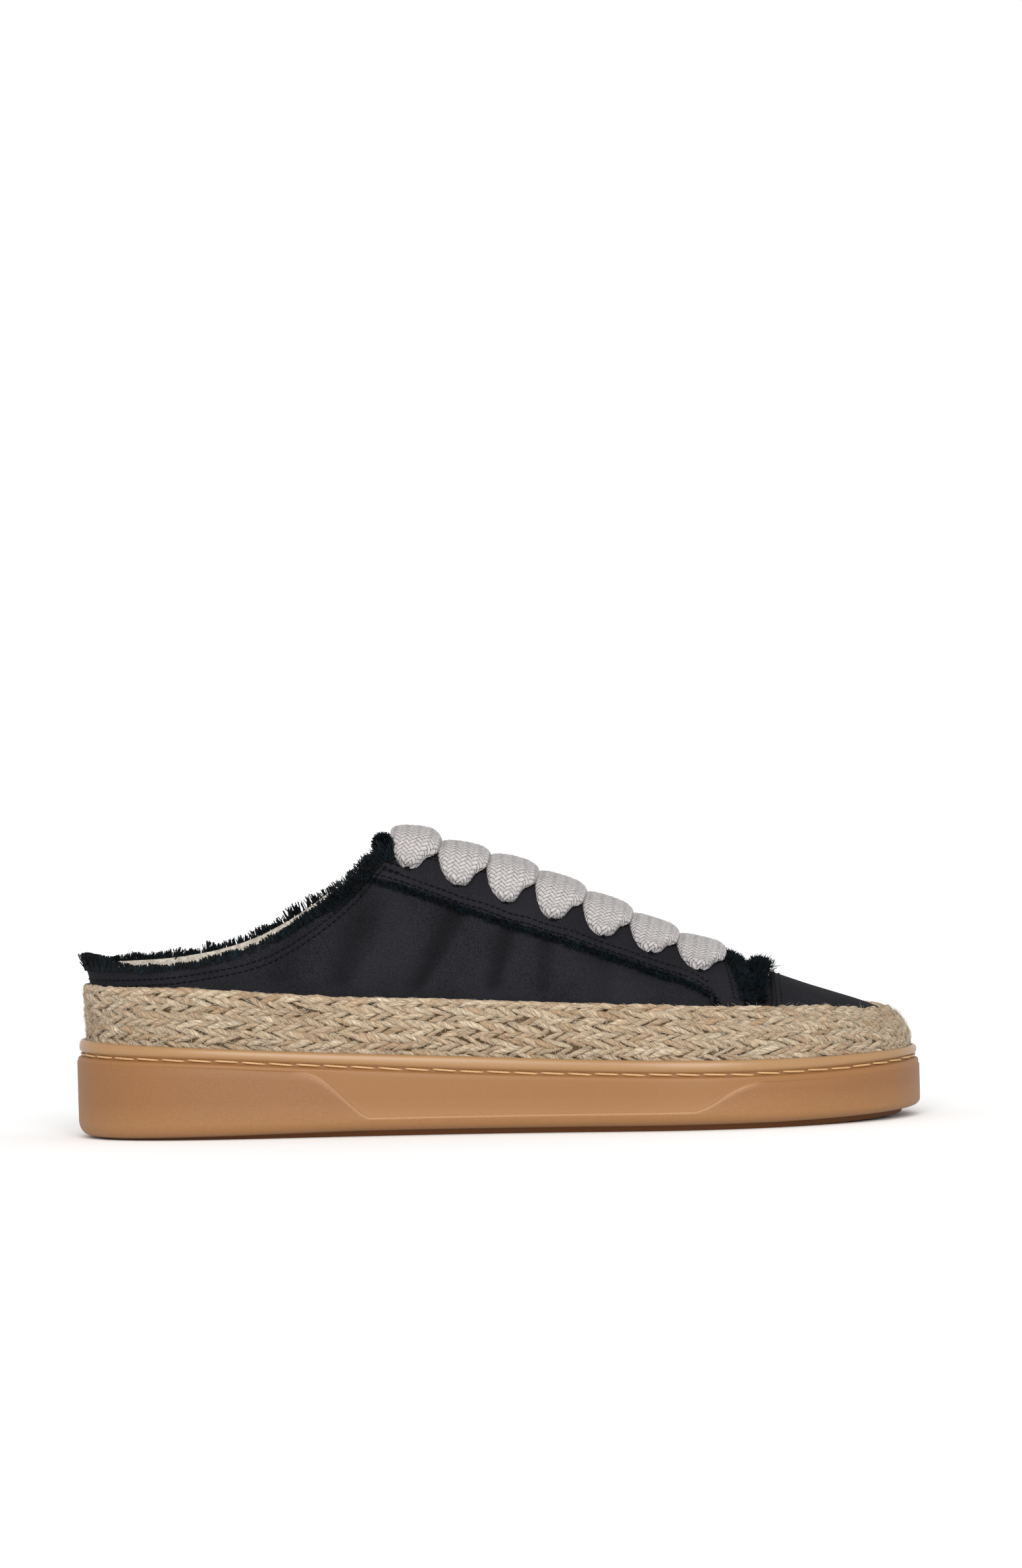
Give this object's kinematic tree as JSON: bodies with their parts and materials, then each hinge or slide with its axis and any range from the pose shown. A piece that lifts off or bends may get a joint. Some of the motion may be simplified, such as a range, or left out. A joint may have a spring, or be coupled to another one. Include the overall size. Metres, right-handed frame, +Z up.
{
  "type": "backless lace-up sneaker",
  "caption": "Right backless sneaker with a frayed satin upper, flat woven laces, a plaited jute band and a gum rubber cup sole.",
  "frame": {"origin": "on the floor under the middle of the sole's length and width, with the shoe standing on its tread", "axes": "+X from the heel towards the toe, +Y towards the inner (medial) side of this right shoe, +Z up"},
  "size_m": [0.268, 0.1017, 0.0974],
  "materials": {
    "gum_rubber": "matte translucent tan gum",
    "jute": "coarse plaited natural fibre",
    "satin": "soft sheen black satin twill",
    "lining": "matte felt-like light grey",
    "lace_braid": "flat woven pale grey braid",
    "frayed_threads": "loose blue-black threads"
  },
  "bodies": {
    "root": {"outsole": "gum_rubber", "jute_band": "jute", "upper": "satin", "eyestay": "satin", "toe_cap": "satin", "tongue": "satin", "insole": "lining", "lace": "lace_braid", "collar_fringe": "frayed_threads", "vamp_fringe": "frayed_threads", "toe_cap_fringe": "frayed_threads"}
  },
  "joints": []
}
